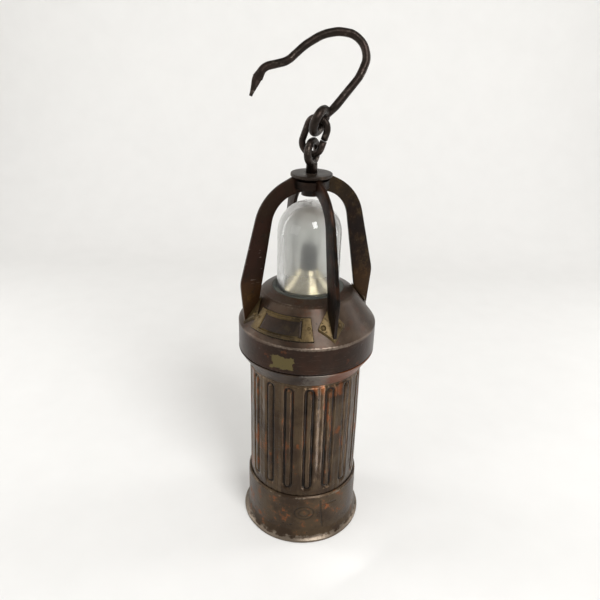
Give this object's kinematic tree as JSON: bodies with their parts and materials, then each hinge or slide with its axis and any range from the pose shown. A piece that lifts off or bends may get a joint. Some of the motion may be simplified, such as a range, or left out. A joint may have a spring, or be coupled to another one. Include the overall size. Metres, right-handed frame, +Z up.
{
  "type": "miner's electric hand lamp",
  "caption": "Portable miner's lamp: ribbed battery pot, bevelled collar, coned head with a glass bell in a four-bar guard, swivel eye, chain link and hanging hook.",
  "frame": {"origin": "centre of the foot, on the surface that the lamp stands on", "axes": "+Z up along the lamp's axis, -Y towards the front, +X to the right seen from the front"},
  "size_m": [0.0944, 0.0944, 0.3488],
  "materials": {
    "lacquered_steel": "old bronze-brown lacquer over steel, scratched and pitted",
    "bare_steel": "worn bare steel",
    "wrought_iron": "dark forged iron",
    "brass": "dull old brass",
    "aged_brass": "olive-brown tarnished brass",
    "rubber": "dark perished rubber",
    "frosted_glass": "thick pressed glass, frosted inside",
    "bulb_glass": "clear blown glass",
    "tin": "spun tinned sheet",
    "fibre": "red-brown vulcanised fibre",
    "hard_rubber": "black hard rubber",
    "cell_metal": "plates and liquid of the cells",
    "spring_steel": "spring steel",
    "blank_plate": "dark brown blank plate"
  },
  "bodies": {
    "pot": {"pot_shell": "lacquered_steel", "foot_band": "lacquered_steel", "neck_ring": "brass", "battery_pad": "rubber", "battery_case": "hard_rubber", "cell_pack": "cell_metal", "battery_lid": "hard_rubber", "positive_terminal": "brass", "negative_terminal": "brass", "vent_plugs": "hard_rubber"},
    "collar": {"collar_ring": "bare_steel", "lock_spring": "spring_steel"},
    "lock_bolt": {"lock_bolt": "bare_steel"},
    "head": {"head_shell": "lacquered_steel", "retaining_clip": "spring_steel", "glass_gasket": "rubber", "glass_bell": "frosted_glass", "clamp_ring": "brass", "reflector": "tin", "lamp_holder": "brass", "bulb_glass": "bulb_glass", "bulb_cap": "brass", "filament": "spring_steel", "bulb_contact": "brass", "contact_plate": "fibre", "plate_pillars": "brass", "plate_screws": "bare_steel", "centre_contact": "spring_steel", "side_contact": "spring_steel", "guard_arm_1": "lacquered_steel", "guard_arm_2": "lacquered_steel", "guard_arm_3": "lacquered_steel", "guard_arm_4": "lacquered_steel", "guard_saddle_1": "aged_brass", "guard_saddle_2": "aged_brass", "guard_saddle_3": "aged_brass", "guard_saddle_4": "aged_brass", "saddle_rivets": "aged_brass", "plate_holder": "aged_brass", "number_plate": "blank_plate", "holder_rivets": "aged_brass", "crown_hub": "lacquered_steel", "crown_disc": "lacquered_steel"},
    "swivel": {"swivel_eye": "wrought_iron", "swivel_nut": "wrought_iron"},
    "link": {"chain_link": "wrought_iron"},
    "hook": {"hook": "wrought_iron"}
  },
  "joints": [
    {"name": "head_lift", "type": "slide", "parent": "pot", "child": "collar", "axis": [0, 0, 1], "range_m": [0, 0.06]},
    {"name": "lock_release", "type": "slide", "parent": "collar", "child": "lock_bolt", "axis": [0.5, 0.866, 0], "range_m": [0, 0.0016], "stiffness_N_per_m": 400, "deforming": ["lock_spring"]},
    {"name": "switch_twist", "type": "hinge", "parent": "collar", "child": "head", "pos_m": [0, 0, 0.15], "axis": [0, 0, 1], "range_deg": [0, 40]},
    {"name": "eye_swivel", "type": "hinge", "parent": "head", "child": "swivel", "pos_m": [0, 0, 0.265], "axis": [0, 0, 1], "continuous": true},
    {"name": "link_swing", "type": "hinge", "parent": "swivel", "child": "link", "pos_m": [0, 0, 0.2846], "axis": [0.4226, 0.9063, 0], "range_deg": [-85, 80]},
    {"name": "hook_swing", "type": "hinge", "parent": "link", "child": "hook", "pos_m": [0.00465, -0.00217, 0.29869], "axis": [0.8517, -0.3971, -0.342], "range_deg": [-65, 115]}
  ]
}
